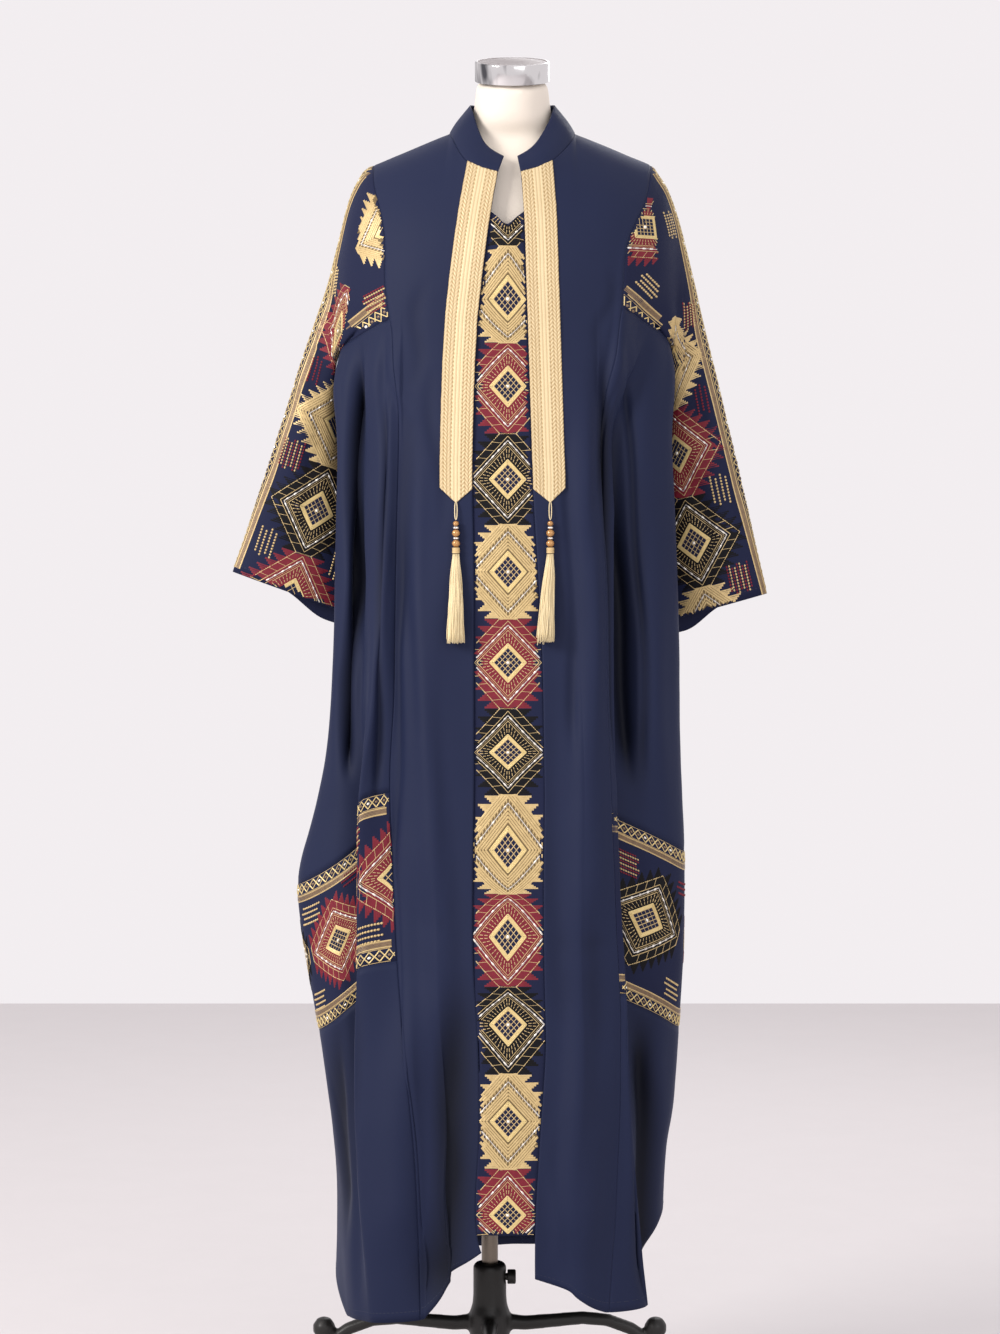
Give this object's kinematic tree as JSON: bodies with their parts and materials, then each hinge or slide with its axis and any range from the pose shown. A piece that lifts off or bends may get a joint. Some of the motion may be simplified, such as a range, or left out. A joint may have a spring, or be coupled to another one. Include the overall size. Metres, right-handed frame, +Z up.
{
  "type": "open-front abaya on a limbless dress form with a cast-iron stand",
  "caption": "Long open-front abaya with wide sleeves, embroidered diamond panels, braid bands and tassels, on a limbless dress form with a pole and a cast-iron base.",
  "frame": {"origin": "on the floor, under the middle of the whole object's box", "axes": "+Z up, the garment's front faces -Y, +X is the wearer's left"},
  "size_m": [0.6784, 0.531, 1.7616],
  "materials": {
    "crepe": "plain navy crepe, matt",
    "embroidered_cloth": "dark navy ground with gold thread diamonds and sequins",
    "gold_braid": "woven gold braid, soft sheen",
    "gold_beads": "polished gold",
    "silver_spacers": "bright silver",
    "tassel_silk": "gold silk strands",
    "form_cloth": "cream stretch cloth over a hard form",
    "neck_cap": "polished",
    "pole": "brownish satin",
    "cast_iron": "black paint, soft gloss"
  },
  "bodies": {
    "stand": {"base": "cast_iron"},
    "screw": {"clamp_screw": "cast_iron"},
    "post": {"pole": "pole"},
    "figure": {"back": "crepe", "bead_1_left": "gold_beads", "bead_1_right": "gold_beads", "bead_2_left": "gold_beads", "bead_2_right": "gold_beads", "bead_3_left": "gold_beads", "bead_3_right": "gold_beads", "braid_left": "gold_braid", "braid_right": "gold_braid", "centre_insert": "embroidered_cloth", "collar": "crepe", "form_torso": "form_cloth", "front_left": "crepe", "front_right": "crepe", "knot_left": "tassel_silk", "knot_right": "tassel_silk", "neck_cap": "neck_cap", "side_band_left": "embroidered_cloth", "side_band_right": "embroidered_cloth", "side_lower_left": "crepe", "side_lower_right": "crepe", "side_upper_left": "crepe", "side_upper_right": "crepe", "sleeve_left": "embroidered_cloth", "sleeve_right": "embroidered_cloth", "spacer_1_left": "silver_spacers", "spacer_1_right": "silver_spacers", "spacer_2_left": "silver_spacers", "spacer_2_right": "silver_spacers", "tassel_left": "tassel_silk", "tassel_loop_left": "tassel_silk", "tassel_loop_right": "tassel_silk", "tassel_right": "tassel_silk"}
  },
  "joints": [
    {"name": "height_slide", "type": "slide", "parent": "stand", "child": "post", "axis": [0, 0, 1], "range_m": [0, 0.12]},
    {"name": "form_swivel", "type": "hinge", "parent": "post", "child": "figure", "pos_m": [-0.013, 0, 0.9], "axis": [0, 0, 1], "continuous": true},
    {"name": "clamp_screw_turn", "type": "hinge", "parent": "stand", "child": "screw", "pos_m": [-0.013, 0, 0.2145], "axis": [1, 0, 0], "range_deg": [0, 180]}
  ]
}
